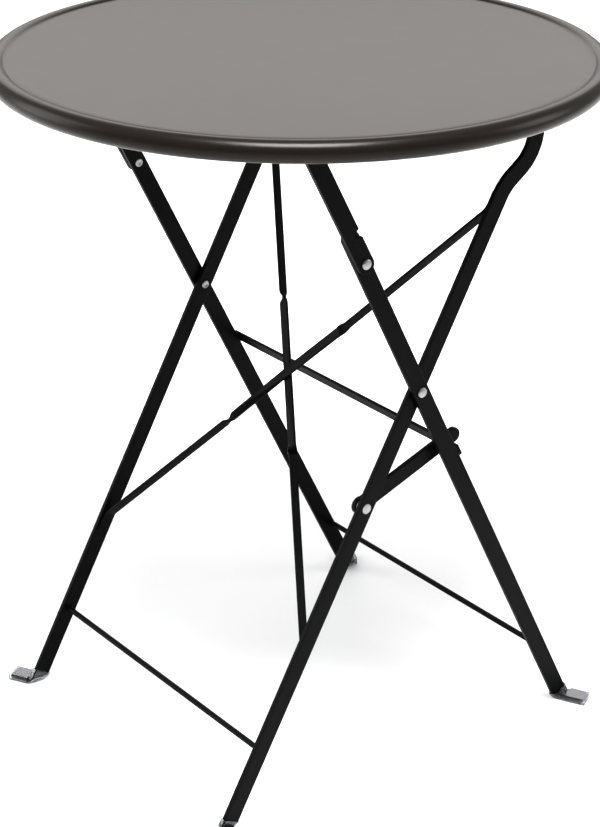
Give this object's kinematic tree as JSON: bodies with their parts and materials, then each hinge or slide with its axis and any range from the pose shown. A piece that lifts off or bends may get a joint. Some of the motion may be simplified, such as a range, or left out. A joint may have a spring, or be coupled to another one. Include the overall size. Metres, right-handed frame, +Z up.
{
  "type": "bistro table",
  "caption": "Round folding bistro table with a rolled-edge metal top on scissor legs of flat bar, toggle knee arms, crossed brace strips and a drop-in lock strut.",
  "frame": {"origin": "on the floor, straight under the middle of the round top", "axes": "+Z up; X along the hinge lines and the rivets; Y along the spread of the legs, with the lock strut's pivot and the knees towards -Y"},
  "size_m": [0.6, 0.6, 0.71],
  "materials": {
    "top": "fine satin powder coat, warm dark grey, worn smooth by light",
    "frame": "satin black powder coat",
    "hardware": "bright zinc-plated steel",
    "sleeve": "clear soft plastic"
  },
  "bodies": {
    "inner_frame": {"inner_leg_left": "frame", "inner_leg_right": "frame", "inner_tie_rod": "frame", "brace_rising": "frame", "brace_falling": "frame", "scissor_rivets": "hardware", "scissor_washers": "hardware", "strut_rivet": "hardware", "strut_spacer": "hardware", "rear_hinge_studs": "hardware", "rear_hinge_washers": "hardware", "foot_sleeve_inner_left": "sleeve", "foot_sleeve_inner_right": "sleeve"},
    "outer_frame": {"outer_leg_left": "frame", "outer_leg_right": "frame", "outer_tie_rod": "frame", "lock_bar": "frame", "stop_pins": "frame", "knee_rivets": "hardware", "knee_washers": "hardware", "foot_sleeve_outer_left": "sleeve", "foot_sleeve_outer_right": "sleeve"},
    "knee_arms": {"knee_arm_left": "frame", "knee_arm_right": "frame"},
    "top": {"table_top": "top", "rail_left": "frame", "rail_right": "frame", "front_hinge_rivets": "hardware", "front_hinge_washers": "hardware", "rear_hinge_rivets": "hardware"},
    "strut": {"lock_strut": "frame"}
  },
  "joints": [
    {"name": "scissor_fold", "type": "hinge", "parent": "inner_frame", "child": "outer_frame", "pos_m": [0, 0.0096, 0.4145], "axis": [-1, 0, 0], "range_deg": [0, 53.4]},
    {"name": "knee_fold", "type": "hinge", "parent": "outer_frame", "child": "knee_arms", "pos_m": [0, -0.06727, 0.56343], "axis": [1, 0, 0], "range_deg": [0, 171.44]},
    {"name": "top_fold", "type": "hinge", "parent": "knee_arms", "child": "top", "pos_m": [0, -0.1357, 0.69], "axis": [-1, 0, 0], "range_deg": [0, 58.71]},
    {"name": "strut_lift", "type": "hinge", "parent": "inner_frame", "child": "strut", "pos_m": [0, -0.05038, 0.3054], "axis": [1, 0, 0], "range_deg": [0, 38.46]}
  ],
  "couplings": [
    {"joint": "knee_fold", "follows": "scissor_fold", "ratio": 3.2102},
    {"joint": "top_fold", "follows": "scissor_fold", "ratio": 1.0992},
    {"joint": "strut_lift", "follows": "scissor_fold", "ratio": 0.72}
  ]
}
